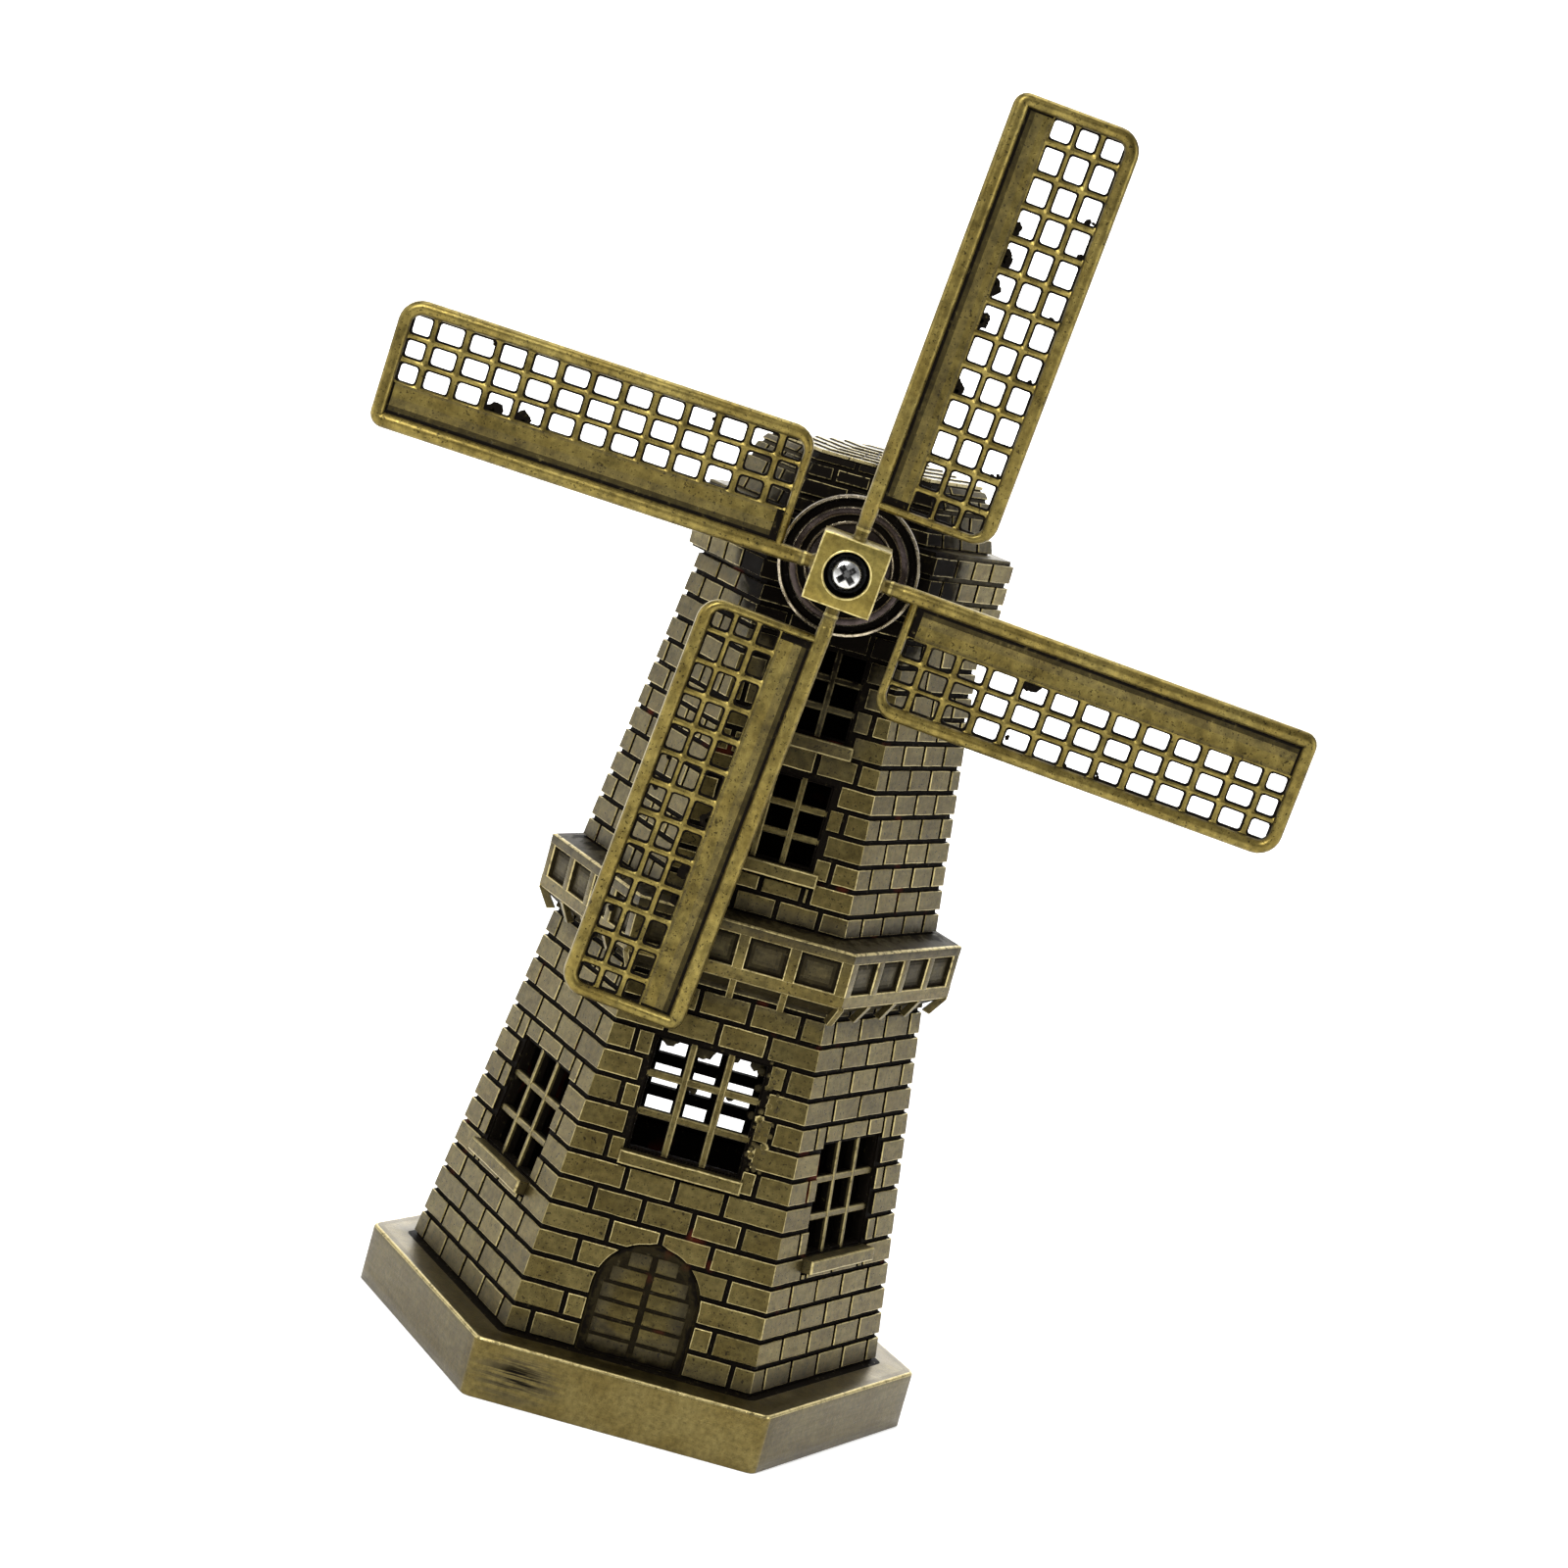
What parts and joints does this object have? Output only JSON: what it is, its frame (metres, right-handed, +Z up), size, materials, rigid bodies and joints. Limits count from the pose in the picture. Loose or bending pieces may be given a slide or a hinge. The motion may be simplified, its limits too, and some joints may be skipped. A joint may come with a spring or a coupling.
{
  "type": "souvenir windmill figurine",
  "caption": "Souvenir windmill of antiqued cast metal: hexagonal brick-relief tower on a plinth, gallery belt, low domed cap, and a cross of lattice sails that turns on a front screw.",
  "frame": {"origin": "middle of the plinth's underside, which is also the middle of the whole object's footprint at its lowest level", "axes": "+Z up along the tower, -Y towards the face with the door and the sails, +X to the viewer's right"},
  "size_m": [0.1383, 0.0744, 0.1959],
  "materials": {
    "bronze_plinth": "antique bronze plating on die-cast zinc, brushed, worn bright at the edges",
    "bronze_brick": "antique bronze plating, near-black patina in the grooves, brick faces rubbed back",
    "bronze_bars": "antique bronze plating, matt",
    "bronze_sail": "antique bronze plating, rubbed back on the rails, brown on the boards",
    "bronze_dark": "near-black patina with rubbed ridges",
    "zinc_screw": "bright zinc plate"
  },
  "bodies": {
    "mill": {"plinth": "bronze_plinth", "base_screw_1": "zinc_screw", "base_screw_2": "zinc_screw", "base_screw_3": "zinc_screw", "base_screw_4": "zinc_screw", "lower_tower_front": "bronze_brick", "lower_tower_rear": "bronze_brick", "door": "bronze_brick", "window_left": "bronze_bars", "window_front": "bronze_bars", "window_right": "bronze_bars", "window_rear": "bronze_bars", "gallery_belt": "bronze_brick", "upper_tower_front": "bronze_brick", "upper_tower_rear": "bronze_brick", "window_upper_1": "bronze_bars", "window_upper_2": "bronze_bars", "curb_band": "bronze_brick", "cap_wall": "bronze_brick", "cap_roof": "bronze_brick", "windshaft_disc": "bronze_dark", "windshaft_bush": "bronze_dark", "hub_washer": "zinc_screw", "hub_screw": "zinc_screw"},
    "sails": {"hub_block": "bronze_sail", "sail_up": "bronze_sail", "sail_right": "bronze_sail", "sail_down": "bronze_sail", "sail_left": "bronze_sail"}
  },
  "joints": [
    {"name": "sail_spin", "type": "hinge", "parent": "mill", "child": "sails", "pos_m": [0, -0.0318, 0.1268], "axis": [0, 1, 0], "continuous": true}
  ]
}
